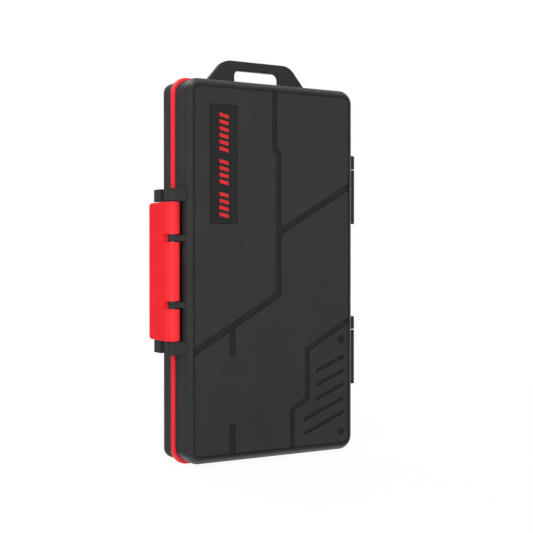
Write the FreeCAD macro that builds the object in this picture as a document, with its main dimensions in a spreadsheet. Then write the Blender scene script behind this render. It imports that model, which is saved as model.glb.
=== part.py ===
import FreeCAD, Part
import enum
import math
import os

import Sketcher

# Driving dimensions of the card case, in millimetres
SIZES = {
    # case body, standing upright on the seal with the lid to the front
    "case_width": 72.0,
    "case_height": 140.0,
    "lid_depth": 10.0,
    "seal_depth": 2.0,
    "base_depth": 10.0,
    "corner_radius": 5.3,
    "base_corner": 3.5,
    "edge_radius": 2.4,
    "wall": 3.0,
    "panel": 2.0,
    # seal between the rims
    "seal_proud": 1.2,
    "seal_corner": 6.0,
    "seal_edge": 0.5,
    "seal_gap": 0.1,
    "rib_width": 0.8,
    "rib_height": 0.7,
    "channel_clearance": 0.2,
    "tongue_width": 1.2,
    "tongue_depth": 1.1,
    "tongue_clearance": 0.05,
    # front of the lid
    "groove_width": 2.3,
    "step_groove_width": 1.9,
    "groove_depth": 0.8,
    "slash_height": 1.45,
    "slash_pitch": 5.4,
    "dimple_radius": 1.5,
    "dimple_inset": 5.8,
    "label_width": 11.4,
    "label_height": 43.4,
    "label_inset": 9.3,
    "label_depth": 0.4,
    "label_corner": 0.6,
    "plate_thickness": 0.3,
    "plate_clearance": 0.1,
    # latch on the left side
    "pivot_out": 4.4,
    "pivot_back": 2.9,
    "latch_pin_radius": 1.0,
    "latch_length": 50.0,
    "latch_corner": 1.5,
    "latch_edge": 0.3,
    "barrel_radius": 2.6,
    "bead_thickness": 1.45,
    "bead_height": 2.8,
    "notch_offset": 12.0,
    "notch_height": 2.9,
    "notch_clearance": 0.4,
    "knuckle_radius": 1.6,
    "lug_radius": 2.4,
    "lug_height": 4.7,
    "lug_gap": 0.2,
    "guard_out": 4.45,
    "guard_setback": 1.5,
    "guard_depth": 5.5,
    "guard_height": 4.55,
    "guard_gap": 0.55,
    "ridge_setback": 3.1,
    "ridge_out": 2.6,
    "ridge_thickness": 1.2,
    "ridge_margin": 1.0,
    "catch_clearance": 0.15,
    # hinges on the right side
    "hinge_out": 4.25,
    "hinge_setback": 0.4,
    "hinge_radius": 2.75,
    "hinge_length": 27.1,
    "hinge_offset": 32.0,
    "hinge_end": 5.2,
    "hinge_gap": 0.1,
    "hinge_play": 0.4,
    "hinge_pin_radius": 1.1,
    "gusset_depth": 7.4,
    # lanyard loop on top
    "loop_setback": 2.8,
    "loop_foot": 46.2,
    "loop_top": 29.0,
    "loop_height": 10.25,
    "loop_thickness": 2.9,
    "loop_offset": 1.25,
    "loop_corner": 6.5,
    "loop_edge": 0.4,
    "loop_sill": 1.0,
    "slot_width": 19.9,
    "slot_height": 5.7,
    "slot_corner": 2.2,
    # card trays
    "tray_clearance": 0.2,
    "tray_gap": 1.0,
    "grid_depth": 4.4,
    "card_width": 24.0,
    "card_height": 32.0,
    "small_card_width": 11.0,
    "small_card_height": 15.0,
    "card_clearance": 0.8,
    "web": 2.8,
    "finger_radius": 5.0,
    "finger_reach": 2.6,
    "small_finger_radius": 3.2,
    "small_finger_reach": 1.6,
    # fits and overlaps
    "running_clearance": 0.05,
    "press_clearance": 0.02,
    "pin_recess": 0.4,
    "rim_clearance": 0.1,
    "overrun": 0.5,
}

# Places on the front panel, as shares of the case's width and height
UPPER_CHANNEL_SHARE = 0.506
LOWER_CHANNEL_SHARE = 0.530
JOG_SHARE = 0.821
BEND_SHARE = 0.436
BRANCH_SHARE = 0.601
STUB_SHARE = 0.258
UPPER_STUB_SHARE = 0.277
LOWER_STUB_SHARE = 0.098
STEP_CHANNEL_SHARE = 0.707
FOOT_CHANNEL_SHARE = 0.615
STEP_BEND_SHARE = 0.283
FOOT_BEND_SHARE = 0.151
SLASH_RIGHT_SHARE = 0.937
SLASH_LEFT_SHARES = (0.687, 0.687, 0.763, 0.763, 0.763)
SLASH_FOOT_SHARE = 0.106
DIMPLE_SHARES = (0.050, 0.308)

# Slopes of the slanted grooves: rise, and upright thickness, as shares of run and width
SLANT_RISE_SHARE = 0.577
SLANT_THICKNESS_SHARE = 1.155
JOG_THICKNESS_SHARE = 0.414
SLASH_RISE_SHARE = 0.400

TOLERANCE = 1e-4


class Spot(enum.IntEnum):
    """The points of a sketched run, and the run that holds the sketch's origin."""

    START = 1
    END = 2
    CENTRE = 3
    AXIS_RUN = -1


ORIGIN = (Spot.AXIS_RUN, Spot.START)


class Size:
    """A length with the sheet expression behind it, so that sums of sizes stay bound to the sheet."""

    def __init__(self, text, value):
        self.text = text
        self.value = value

    @staticmethod
    def of(other):
        return other if isinstance(other, Size) else Size(repr(other), other)

    def __add__(self, other):
        other = Size.of(other)
        return Size(f"({self.text} + {other.text})", self.value + other.value)

    def __sub__(self, other):
        other = Size.of(other)
        return Size(f"({self.text} - {other.text})", self.value - other.value)

    def __mul__(self, share):
        return Size(f"({self.text} * {share!r})", self.value * share)

    def __truediv__(self, count):
        return Size(f"({self.text} / {count!r})", self.value / count)

    def __neg__(self):
        return Size(f"(0 - {self.text})", -self.value)


class Sizes:
    """The sheet's cells as Size attributes."""

    def __init__(self, doc):
        self.sheet = doc.addObject("Spreadsheet::Sheet", "Sizes")
        for row, (alias, number) in enumerate(SIZES.items(), start=1):
            self.sheet.set(f"A{row}", alias)
            self.sheet.set(f"B{row}", str(number))
            self.sheet.setAlias(f"B{row}", alias)
            setattr(self, alias, Size(f"Sizes.{alias}", number))


doc = FreeCAD.newDocument("card_case")
size = Sizes(doc)
doc.recompute()

# Planes and axes that several pieces share
ZERO = Size("0", 0.0)
case_depth = size.lid_depth + size.seal_depth + size.base_depth
front_y = -case_depth / 2
lid_rim_y = front_y + size.lid_depth
base_rim_y = lid_rim_y + size.seal_depth
back_y = base_rim_y + size.base_depth
ridge_y = base_rim_y + size.ridge_setback
left_x = -size.case_width / 2
right_x = size.case_width / 2
bottom_z = size.seal_proud
top_z = bottom_z + size.case_height
middle_z = bottom_z + size.case_height / 2
pivot_x = left_x - size.pivot_out
pivot_y = front_y + size.pivot_back
hinge_x = right_x + size.hinge_out
hinge_y = lid_rim_y + size.hinge_setback
hinge_bottoms = [middle_z + size.hinge_offset * side - size.hinge_length / 2 for side in (-1, 1)]
latch_bottom = middle_z - size.latch_length / 2
latch_top = middle_z + size.latch_length / 2
lug_bottoms = [latch_bottom - size.lug_gap - size.lug_height, latch_top + size.lug_gap]
notch_middles = [middle_z + size.notch_offset * side for side in (-1, 1)]
knuckle_height = size.notch_height - size.notch_clearance * 2
seat_width = size.tongue_width + size.tongue_clearance * 2
# blocks run into a wall by half of the lip beside the seal groove
embed = (size.wall - seat_width) / 4


def bind(owner, path, length):
    """Set a property and tie it to the sheet."""
    owner.setExpression(path, length.text)


def new_body(label):
    """An empty body whose label names its file."""
    body = doc.addObject("PartDesign::Body", label)
    body.Label = label
    return body


def new_sketch(body, name, plane, level):
    """A sketch on one of the body's origin planes, moved along the plane's axis to a level."""
    sketch = body.newObject("Sketcher::SketchObject", name)
    origin_plane = [f for f in body.Origin.OriginFeatures if f.Role == plane][0]
    sketch.AttachmentSupport = [(origin_plane, "")]
    sketch.MapMode = "FlatFace"
    # the upright plane's normal points to the front
    bind(sketch, "AttachmentOffset.Base.z", -level if plane == "XZ_Plane" else level)
    return sketch


def held_at(geometry, point, x, y):
    """The two dimensions that hold one point of a sketch at a place."""
    across = Sketcher.Constraint("DistanceX", *ORIGIN, geometry, point, x.value)
    along = Sketcher.Constraint("DistanceY", *ORIGIN, geometry, point, y.value)
    return [(across, x), (along, y)]


def joined(geometry, after):
    """The tie between the end of one run and the start of the next."""
    return [(Sketcher.Constraint("Coincident", geometry, Spot.END, after, Spot.START), None)]


def rounded(geometry, radius):
    """The radius of an arc or circle."""
    return [(Sketcher.Constraint("Radius", geometry, radius.value), radius)]


def centred(arc, start, end, centre):
    """The one dimension that fixes the centre of an arc whose ends are held."""
    across, along = (abs(end[axis].value - start[axis].value) for axis in (0, 1))
    if across > along:
        return [(Sketcher.Constraint("DistanceY", *ORIGIN, arc, Spot.CENTRE, centre[1].value), centre[1])]
    return [(Sketcher.Constraint("DistanceX", *ORIGIN, arc, Spot.CENTRE, centre[0].value), centre[0])]


def dimension(sketch, dimensions):
    """Add dimensions to a sketch and tie those that have a length to the sheet."""
    indices = sketch.addConstraint([constraint for constraint, _ in dimensions])
    for index, (_, length) in zip(indices, dimensions):
        if length is not None:
            bind(sketch, f"Constraints[{index}]", length)


def vector(place):
    """A place in a sketch as a vector."""
    return FreeCAD.Vector(place[0].value, place[1].value, 0)


def arc_about(centre, radius, start, end):
    """The arc that turns left about a centre from one place to another."""
    circle = Part.Circle(vector(centre), FreeCAD.Vector(0, 0, 1), radius.value)
    return Part.ArcOfCircle(circle, circle.parameter(vector(start)), circle.parameter(vector(end)))


def add_outline(sketch, corners, arcs=None):
    """A closed outline through corners, with straight runs or, from the corners named, arcs."""
    arcs = arcs or {}
    following = corners[1:] + corners[:1]
    shapes = [
        arc_about(*arcs[run], start, end) if run in arcs else Part.LineSegment(vector(start), vector(end))
        for run, (start, end) in enumerate(zip(corners, following))
    ]
    runs = list(sketch.addGeometry(shapes))
    dimensions = []
    for run, after, (x, y) in zip(runs, runs[1:] + runs[:1], corners):
        dimensions += joined(run, after) + held_at(run, Spot.START, x, y)
    for run, (centre, _) in arcs.items():
        dimensions += centred(runs[run], corners[run], following[run], centre)
    dimension(sketch, dimensions)


def add_rectangle(sketch, left, right, bottom, top):
    """A closed outline with square corners."""
    add_outline(sketch, box_corners(left, right, bottom, top))


def add_rounded_rectangle(sketch, left, right, bottom, top, radius):
    """A closed outline with round corners."""
    corners = [
        (left + radius, bottom),
        (right - radius, bottom),
        (right, bottom + radius),
        (right, top - radius),
        (right - radius, top),
        (left + radius, top),
        (left, top - radius),
        (left, bottom + radius),
    ]
    centres = [
        (right - radius, bottom + radius),
        (right - radius, top - radius),
        (left + radius, top - radius),
        (left + radius, bottom + radius),
    ]
    add_outline(sketch, corners, {2 * turn + 1: (centre, radius) for turn, centre in enumerate(centres)})


def add_case_outline(sketch, inset, radius=None):
    """The case's outline, moved inwards by an inset, with the lid's round corners or other ones."""
    add_rounded_rectangle(
        sketch,
        left_x + inset,
        right_x - inset,
        bottom_z + inset,
        top_z - inset,
        radius or size.corner_radius - inset,
    )


def add_circle(sketch, x, y, radius):
    """A full circle."""
    circle = sketch.addGeometry(Part.Circle(vector((x, y)), FreeCAD.Vector(0, 0, 1), radius.value))
    dimension(sketch, held_at(circle, Spot.CENTRE, x, y) + rounded(circle, radius))


def pad(body, sketch, length, reversed_side=False):
    """Raise a sketch along its normal, or against it."""
    feature = body.newObject("PartDesign::Pad", sketch.Name + "_pad")
    feature.Profile = sketch
    feature.Reversed = reversed_side
    bind(feature, "Length", length)
    doc.recompute()
    return feature


def pocket(body, sketch, length, reversed_side=False):
    """Cut a sketch against its normal, or along it, and see that it took material away."""
    before = body.Tip.Shape.Volume
    feature = body.newObject("PartDesign::Pocket", sketch.Name + "_pocket")
    feature.Profile = sketch
    feature.Reversed = reversed_side
    bind(feature, "Length", length)
    doc.recompute()
    if feature.Shape.Volume > before - TOLERANCE:
        raise RuntimeError(f"{feature.Name} cuts nothing")
    return feature


def fillet(body, name, radius, wanted):
    """Round the edges of the body that a test picks out."""
    doc.recompute()
    base = body.Tip
    picked = [f"Edge{i}" for i, edge in enumerate(base.Shape.Edges, start=1) if wanted(edge)]
    feature = body.newObject("PartDesign::Fillet", name)
    feature.Base = (base, picked)
    bind(feature, "Radius", radius)
    doc.recompute()
    return feature


def chamfer(body, name, width, wanted):
    """Bevel the edges of the body that a test picks out."""
    doc.recompute()
    base = body.Tip
    picked = [f"Edge{i}" for i, edge in enumerate(base.Shape.Edges, start=1) if wanted(edge)]
    feature = body.newObject("PartDesign::Chamfer", name)
    feature.Base = (base, picked)
    bind(feature, "Size", width)
    doc.recompute()
    return feature


def near(value, length):
    """Whether a measured place is the named one."""
    return abs(value - length.value) < TOLERANCE


def lies_in_plane(edge, axis, level):
    """Whether a whole edge lies at one level of an axis."""
    box = edge.BoundBox
    low, high = {"x": (box.XMin, box.XMax), "y": (box.YMin, box.YMax), "z": (box.ZMin, box.ZMax)}[axis]
    return near(low, level) and near(high, level)


def upright(body, name, bottom, height, corners, arcs=None):
    """A block with an upright outline, which may have round runs."""
    sketch = new_sketch(body, name, "XY_Plane", bottom)
    add_outline(sketch, corners, arcs)
    return pad(body, sketch, height)


def bore(body, name, bottom, height, x, y, radius):
    """A round hole along an upright axis, cut upwards from a level."""
    sketch = new_sketch(body, name, "XY_Plane", bottom)
    add_circle(sketch, x, y, radius)
    return pocket(body, sketch, height, reversed_side=True)


def box_corners(left, right, front, back):
    """The four corners of an upright block."""
    return [(left, front), (right, front), (right, back), (left, back)]


def upright_pin(label, x, y, bottom, height, radius):
    """A plain round pin."""
    pin = doc.addObject("Part::Cylinder", label)
    pin.Label = label
    bind(pin, "Radius", radius)
    bind(pin, "Height", height)
    bind(pin, "Placement.Base.x", x)
    bind(pin, "Placement.Base.y", y)
    bind(pin, "Placement.Base.z", bottom)
    return pin


def groove(body, name, corners, depth):
    """A groove in the front of the lid with a straight-sided outline."""
    sketch = new_sketch(body, name, "XZ_Plane", front_y)
    add_outline(sketch, corners)
    return pocket(body, sketch, depth)


def panel_x(share):
    """A place across the front panel."""
    return left_x + size.case_width * share


def panel_z(share):
    """A place up the front panel."""
    return bottom_z + size.case_height * share


def cut_front_grooves(body):
    """The channels, the slashes and the dimples of the front panel, inside its rounded edge."""
    left = left_x + size.edge_radius
    right = right_x - size.edge_radius
    bottom = bottom_z + size.edge_radius
    top = top_z - size.edge_radius
    half = size.groove_width / 2
    slant = half * SLANT_THICKNESS_SHARE
    rise = half * SLANT_RISE_SHARE
    upper_x = panel_x(UPPER_CHANNEL_SHARE)
    lower_x = panel_x(LOWER_CHANNEL_SHARE)
    jog_z = panel_z(JOG_SHARE)
    jog_drop = lower_x - upper_x
    jog_lift = size.groove_width * JOG_THICKNESS_SHARE
    bend_z = panel_z(BEND_SHARE)
    left_z = bend_z - (lower_x - left) * SLANT_RISE_SHARE
    groove(
        body,
        "main_channel",
        [
            (upper_x - half, top),
            (upper_x - half, jog_z),
            (lower_x - half, jog_z - jog_drop),
            (lower_x - half, bend_z - rise + slant),
            (left, left_z + slant),
            (left, left_z - slant),
            (lower_x + half, bend_z + rise - slant),
            (lower_x + half, jog_z + jog_lift - jog_drop),
            (upper_x + half, jog_z + jog_lift),
            (upper_x + half, top),
        ],
        size.groove_depth,
    )
    branch_z = panel_z(BRANCH_SHARE)
    branch_end_z = branch_z + (right - lower_x) * SLANT_RISE_SHARE
    groove(
        body,
        "branch_channel",
        [
            (lower_x, branch_z - slant),
            (right, branch_end_z - slant),
            (right, branch_end_z + slant),
            (lower_x, branch_z + slant),
        ],
        size.groove_depth,
    )
    stub_x = panel_x(STUB_SHARE)
    stub_top = bend_z - (lower_x - stub_x) * SLANT_RISE_SHARE
    stub_ends = {
        "upper_stub": (panel_z(UPPER_STUB_SHARE), stub_top),
        "lower_stub": (bottom, panel_z(LOWER_STUB_SHARE)),
    }
    for name, (low, high) in stub_ends.items():
        corners = [(stub_x - half, low), (stub_x + half, low), (stub_x + half, high), (stub_x - half, high)]
        groove(body, name, corners, size.groove_depth)

    half = size.step_groove_width / 2
    slant = half * SLANT_THICKNESS_SHARE
    turn = slant - half * SLANT_RISE_SHARE
    step_x = panel_x(STEP_CHANNEL_SHARE)
    foot_x = panel_x(FOOT_CHANNEL_SHARE)
    step_z = panel_z(STEP_BEND_SHARE)
    knee_z = panel_z(FOOT_BEND_SHARE)
    foot_z = knee_z - (step_x - foot_x) * SLANT_RISE_SHARE
    step_end_z = step_z + (right - step_x) * SLANT_RISE_SHARE
    groove(
        body,
        "step_channel",
        [
            (right, step_end_z + slant),
            (step_x - half, step_z + turn),
            (step_x - half, knee_z + turn),
            (foot_x - half, foot_z + turn),
            (foot_x - half, bottom),
            (foot_x + half, bottom),
            (foot_x + half, foot_z - turn),
            (step_x + half, knee_z - turn),
            (step_x + half, step_z - turn),
            (right, step_end_z - slant),
        ],
        size.groove_depth,
    )

    slashes = new_sketch(body, "slashes", "XZ_Plane", front_y)
    slash_right = panel_x(SLASH_RIGHT_SHARE)
    slash_half = size.slash_height / 2
    for step, share in enumerate(SLASH_LEFT_SHARES):
        slash_left = panel_x(share)
        high = panel_z(SLASH_FOOT_SHARE) + size.slash_pitch * step
        low = high - (slash_right - slash_left) * SLASH_RISE_SHARE
        add_outline(
            slashes,
            [
                (slash_left, low - slash_half),
                (slash_right, high - slash_half),
                (slash_right, high + slash_half),
                (slash_left, low + slash_half),
            ],
        )
    pocket(body, slashes, size.groove_depth)

    dimples = new_sketch(body, "dimples", "XZ_Plane", front_y)
    for share in DIMPLE_SHARES:
        add_circle(dimples, right_x - size.dimple_inset, panel_z(share), size.dimple_radius)
    pocket(body, dimples, size.groove_depth)


def add_label_outline(sketch, clearance):
    """The outline of the label field, moved inwards by a clearance."""
    add_rounded_rectangle(
        sketch,
        left_x + size.label_inset + clearance,
        left_x + size.label_inset + size.label_width - clearance,
        top_z - size.label_inset - size.label_height + clearance,
        top_z - size.label_inset - clearance,
        size.label_corner,
    )


def lug_profile(radius, back=None):
    """A lug about the latch pin: half round to the outside, running into the lid's side wall."""
    inner_x = left_x + embed
    front = pivot_y - radius
    corners = [(pivot_x, pivot_y + radius), (pivot_x, front), (inner_x, front)]
    if back is None:
        corners += [(inner_x, pivot_y + radius)]
    else:
        corners += [(inner_x, back), (pivot_x, back)]
    return corners, {0: ((pivot_x, pivot_y), radius)}


def bevel_ends(body, name, bottom, height):
    """Bevel the upper and lower edges of a block on the left side of the case."""

    def is_end_edge(edge):
        """An edge of either end that lies clear of the side wall."""
        level = lies_in_plane(edge, "z", bottom) or lies_in_plane(edge, "z", bottom + height)
        return level and edge.BoundBox.XMin < left_x.value - TOLERANCE

    return chamfer(body, name, size.latch_edge, is_end_edge)


def build_lid_shell():
    """Front half: grooved panel, rim rib, latch lugs and the middle knuckles of the hinges."""
    body = new_body("lid_shell")
    outline = new_sketch(body, "lid_outline", "XZ_Plane", lid_rim_y)
    add_case_outline(outline, ZERO)
    pad(body, outline, size.lid_depth)
    fillet(body, "lid_front_edge", size.edge_radius, lambda edge: lies_in_plane(edge, "y", front_y))

    cavity = new_sketch(body, "lid_cavity", "XZ_Plane", lid_rim_y)
    add_case_outline(cavity, size.wall)
    pocket(body, cavity, size.lid_depth - size.panel, reversed_side=True)

    rib = new_sketch(body, "lid_rib", "XZ_Plane", lid_rim_y)
    add_case_outline(rib, (size.wall - size.rib_width) / 2)
    add_case_outline(rib, (size.wall + size.rib_width) / 2)
    pad(body, rib, size.rib_height, reversed_side=True)

    cut_front_grooves(body)
    label = new_sketch(body, "label_field", "XZ_Plane", front_y)
    add_label_outline(label, ZERO)
    pocket(body, label, size.label_depth)

    lug = lug_profile(size.lug_radius, lid_rim_y - size.rim_clearance)
    knuckle = lug_profile(size.knuckle_radius)
    for place, lug_bottom, middle in zip(("lower", "upper"), lug_bottoms, notch_middles):
        upright(body, f"{place}_lug", lug_bottom, size.lug_height, *lug)
        bevel_ends(body, f"{place}_lug_ends", lug_bottom, size.lug_height)
        upright(body, f"{place}_knuckle", middle - knuckle_height / 2, knuckle_height, *knuckle)
    bore(
        body,
        "latch_pin_bore",
        lug_bottoms[0] - size.overrun,
        size.latch_length + (size.lug_height + size.lug_gap + size.overrun) * 2,
        pivot_x,
        pivot_y,
        size.latch_pin_radius + size.press_clearance,
    )

    hinge_inner = right_x - embed
    leaf_back = lid_rim_y - size.rim_clearance
    hinge_leaf = [
        (hinge_x, hinge_y - size.hinge_radius),
        (hinge_x - size.hinge_radius, hinge_y),
        (hinge_x - size.hinge_radius, leaf_back),
        (hinge_inner, leaf_back),
        (hinge_inner, hinge_y - size.hinge_radius),
    ]
    barrel = {0: ((hinge_x, hinge_y), size.hinge_radius)}
    height = size.hinge_length - size.hinge_end * 2 - size.hinge_gap - size.hinge_play
    for place, hinge_bottom in zip(("lower", "upper"), hinge_bottoms):
        bottom = hinge_bottom + size.hinge_end + size.hinge_gap
        upright(body, f"{place}_hinge_knuckle", bottom, height, hinge_leaf, barrel)
        bore(
            body,
            f"{place}_hinge_bore",
            bottom - size.overrun,
            height + size.overrun * 2,
            hinge_x,
            hinge_y,
            size.hinge_pin_radius + size.running_clearance,
        )
    return body


def build_base_shell():
    """Back half: seal groove, lanyard loop, latch catch with its guards, and the hinges' end knuckles."""
    body = new_body("base_shell")
    outline = new_sketch(body, "base_outline", "XZ_Plane", base_rim_y)
    add_case_outline(outline, ZERO, size.base_corner)
    pad(body, outline, size.base_depth, reversed_side=True)
    fillet(body, "base_back_edge", size.edge_radius, lambda edge: lies_in_plane(edge, "y", back_y))

    cavity = new_sketch(body, "base_cavity", "XZ_Plane", base_rim_y)
    add_case_outline(cavity, size.wall)
    pocket(body, cavity, size.base_depth - size.panel)

    seat = new_sketch(body, "seal_groove", "XZ_Plane", base_rim_y)
    add_case_outline(seat, (size.wall - seat_width) / 2)
    add_case_outline(seat, (size.wall + seat_width) / 2)
    pocket(body, seat, size.tongue_depth + size.tongue_clearance)

    build_loop(body)

    inner_x = left_x + embed
    guard_front = base_rim_y + size.guard_setback
    guard = box_corners(left_x - size.guard_out, inner_x, guard_front, guard_front + size.guard_depth)
    upright(body, "lower_guard", latch_bottom - size.guard_gap - size.guard_height, size.guard_height, guard)
    upright(body, "upper_guard", latch_top + size.guard_gap, size.guard_height, guard)
    upright(
        body,
        "catch_ridge",
        latch_bottom + size.ridge_margin,
        size.latch_length - size.ridge_margin * 2,
        box_corners(left_x - size.ridge_out, inner_x, ridge_y, ridge_y + size.ridge_thickness),
    )

    inner_x = right_x - embed
    gusset_front = base_rim_y + size.rim_clearance
    gusset_back = base_rim_y + size.gusset_depth
    gusset = [
        (hinge_x - size.hinge_radius, hinge_y),
        (hinge_x + size.hinge_radius, hinge_y),
        (right_x, gusset_back),
        (inner_x, gusset_back),
        (inner_x, gusset_front),
        (hinge_x - size.hinge_radius, gusset_front),
    ]
    barrel = {0: ((hinge_x, hinge_y), size.hinge_radius)}
    for place, hinge_bottom in zip(("lower", "upper"), hinge_bottoms):
        far_bottom = hinge_bottom + size.hinge_length - size.hinge_end
        for end, bottom in (("bottom", hinge_bottom), ("top", far_bottom)):
            upright(body, f"{place}_{end}_knuckle", bottom, size.hinge_end, gusset, barrel)
        bore(
            body,
            f"{place}_pin_bore",
            hinge_bottom - size.overrun,
            size.hinge_length + size.overrun * 2,
            hinge_x,
            hinge_y,
            size.hinge_pin_radius + size.press_clearance,
        )
    return body


def build_loop(body):
    """Tapered lanyard loop with a webbing slot, standing on the top wall of the base."""
    middle_x = ZERO + size.loop_offset
    loop_front = base_rim_y + size.loop_setback
    top = top_z + size.loop_height
    outline = new_sketch(body, "loop_outline", "XZ_Plane", loop_front)
    add_outline(
        outline,
        [
            (middle_x - size.loop_foot / 2, top_z - embed),
            (middle_x + size.loop_foot / 2, top_z - embed),
            (middle_x + size.loop_foot / 2, top_z),
            (middle_x + size.loop_top / 2, top),
            (middle_x - size.loop_top / 2, top),
            (middle_x - size.loop_foot / 2, top_z),
        ],
    )
    pad(body, outline, size.loop_thickness, reversed_side=True)

    def is_shoulder(edge):
        """The loop's two top corners, which run from front to back."""
        box = edge.BoundBox
        return near(box.ZMin, top) and near(box.ZMax, top) and near(box.YLength, size.loop_thickness)

    fillet(body, "loop_shoulders", size.loop_corner, is_shoulder)
    slot = new_sketch(body, "loop_slot", "XZ_Plane", loop_front)
    sill = top_z + size.loop_sill
    add_rounded_rectangle(
        slot,
        middle_x - size.slot_width / 2,
        middle_x + size.slot_width / 2,
        sill,
        sill + size.slot_height,
        size.slot_corner,
    )
    pocket(body, slot, size.loop_thickness)

    def is_rim(edge):
        """The loop's front and back outlines, above the case."""
        in_front = lies_in_plane(edge, "y", loop_front)
        in_back = lies_in_plane(edge, "y", loop_front + size.loop_thickness)
        return (in_front or in_back) and edge.BoundBox.ZMax > top_z.value + TOLERANCE

    chamfer(body, "loop_rims", size.loop_edge, is_rim)


def build_seal_ring():
    """Ring that stands out between the rims: a tongue into the base, a channel for the lid's rib."""
    body = new_body("seal_ring")
    outline = new_sketch(body, "seal_outline", "XZ_Plane", base_rim_y)
    add_case_outline(outline, -size.seal_proud, size.seal_corner)
    add_case_outline(outline, size.wall)
    pad(body, outline, size.seal_depth - size.seal_gap)

    def is_proud(edge):
        """An edge of the part that stands out between the shells."""
        box = edge.BoundBox
        beside = box.XMin < left_x.value - TOLERANCE or box.XMax > right_x.value + TOLERANCE
        return beside or box.ZMin < bottom_z.value - TOLERANCE or box.ZMax > top_z.value + TOLERANCE

    def is_proud_rim(edge):
        """A proud edge that runs around the ring."""
        return near(edge.BoundBox.YLength, ZERO) and is_proud(edge)

    chamfer(body, "seal_edges", size.seal_edge, is_proud_rim)

    tongue = new_sketch(body, "seal_tongue", "XZ_Plane", base_rim_y)
    add_case_outline(tongue, (size.wall - size.tongue_width) / 2)
    add_case_outline(tongue, (size.wall + size.tongue_width) / 2)
    pad(body, tongue, size.tongue_depth, reversed_side=True)

    channel_width = size.rib_width + size.channel_clearance * 2
    channel = new_sketch(body, "seal_channel", "XZ_Plane", lid_rim_y + size.seal_gap)
    add_case_outline(channel, (size.wall - channel_width) / 2)
    add_case_outline(channel, (size.wall + channel_width) / 2)
    pocket(body, channel, size.rib_height - size.seal_gap + size.channel_clearance)
    return body


def build_latch():
    """Swinging latch: pivot barrel with two notches, flat flap and the bead that grips the catch."""
    body = new_body("latch")
    outer_x = pivot_x - size.barrel_radius
    bead_x = pivot_x + size.bead_height
    bead_front = ridge_y + size.ridge_thickness + size.catch_clearance
    free_end = bead_front + size.bead_thickness
    profile = [
        (outer_x, pivot_y),
        (pivot_x, pivot_y + size.barrel_radius),
        (pivot_x, bead_front),
        (bead_x, bead_front),
        (bead_x, free_end),
        (outer_x, free_end),
    ]
    barrel = {0: ((pivot_x, pivot_y), size.barrel_radius)}
    upright(body, "profile", latch_bottom, size.latch_length, profile, barrel)

    def is_free_corner(edge):
        """The flap's two corners at its free end."""
        return lies_in_plane(edge, "y", free_end) and near(edge.BoundBox.ZLength, ZERO)

    def is_outer_edge(edge):
        """The edges of both ends and of the outer face."""
        outer = lies_in_plane(edge, "x", outer_x) and edge.BoundBox.YMax > pivot_y.value + TOLERANCE
        return outer or near(edge.BoundBox.ZLength, ZERO)

    fillet(body, "free_corners", size.latch_corner, is_free_corner)
    chamfer(body, "outer_edges", size.latch_edge, is_outer_edge)

    for place, middle in zip(("lower", "upper"), notch_middles):
        notch = new_sketch(body, f"{place}_notch", "XY_Plane", middle - size.notch_height / 2)
        add_rectangle(
            notch,
            outer_x - size.overrun,
            pivot_x + size.barrel_radius + size.overrun,
            pivot_y - size.barrel_radius - size.overrun,
            pivot_y + size.barrel_radius,
        )
        pocket(body, notch, size.notch_height, reversed_side=True)
    bore(
        body,
        "pivot_bore",
        latch_bottom - size.overrun,
        size.latch_length + size.overrun * 2,
        pivot_x,
        pivot_y,
        size.latch_pin_radius + size.running_clearance,
    )
    return body


def build_label_plate():
    """Thin dark plate that fills the label field."""
    body = new_body("label_plate")
    outline = new_sketch(body, "plate_outline", "XZ_Plane", front_y + size.label_depth)
    add_label_outline(outline, size.plate_clearance)
    pad(body, outline, size.plate_thickness)
    return body


def fitting(span, item):
    """How many pockets fit into a span with a web between and beside them."""
    return max(1, math.floor((span.value - size.web.value) / (item.value + size.web.value)))


def cut_pockets(grid, name, seam_y, faces_back, corner, card, notch, counts, gaps):
    """A field of card pockets: one pocket and its finger notch are cut and then repeated."""
    left, bottom = corner
    width, height = card
    notch_x, notch_z, notch_radius = notch
    outline = new_sketch(grid, name, "XZ_Plane", seam_y)
    add_rectangle(outline, left, left + width, bottom, bottom + height)
    cut = pocket(grid, outline, size.grid_depth, reversed_side=not faces_back)
    round_end = new_sketch(grid, f"{name}_notch", "XZ_Plane", seam_y)
    add_circle(round_end, left + notch_x, bottom + notch_z, notch_radius)
    notch_cut = pocket(grid, round_end, size.grid_depth, reversed_side=not faces_back)

    pattern = grid.newObject("PartDesign::LinearPattern", f"{name}_field")
    pattern.Originals = [cut, notch_cut]
    pattern.Direction = (outline, ["H_Axis"])
    pattern.Direction2 = (outline, ["V_Axis"])
    pattern.Occurrences, pattern.Occurrences2 = counts
    steps_x, steps_z = (max(1, count - 1) for count in counts)
    bind(pattern, "Length", (width + gaps[0]) * steps_x)
    bind(pattern, "Length2", (height + gaps[1]) * steps_z)
    grid.Tip = pattern
    doc.recompute()


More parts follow.
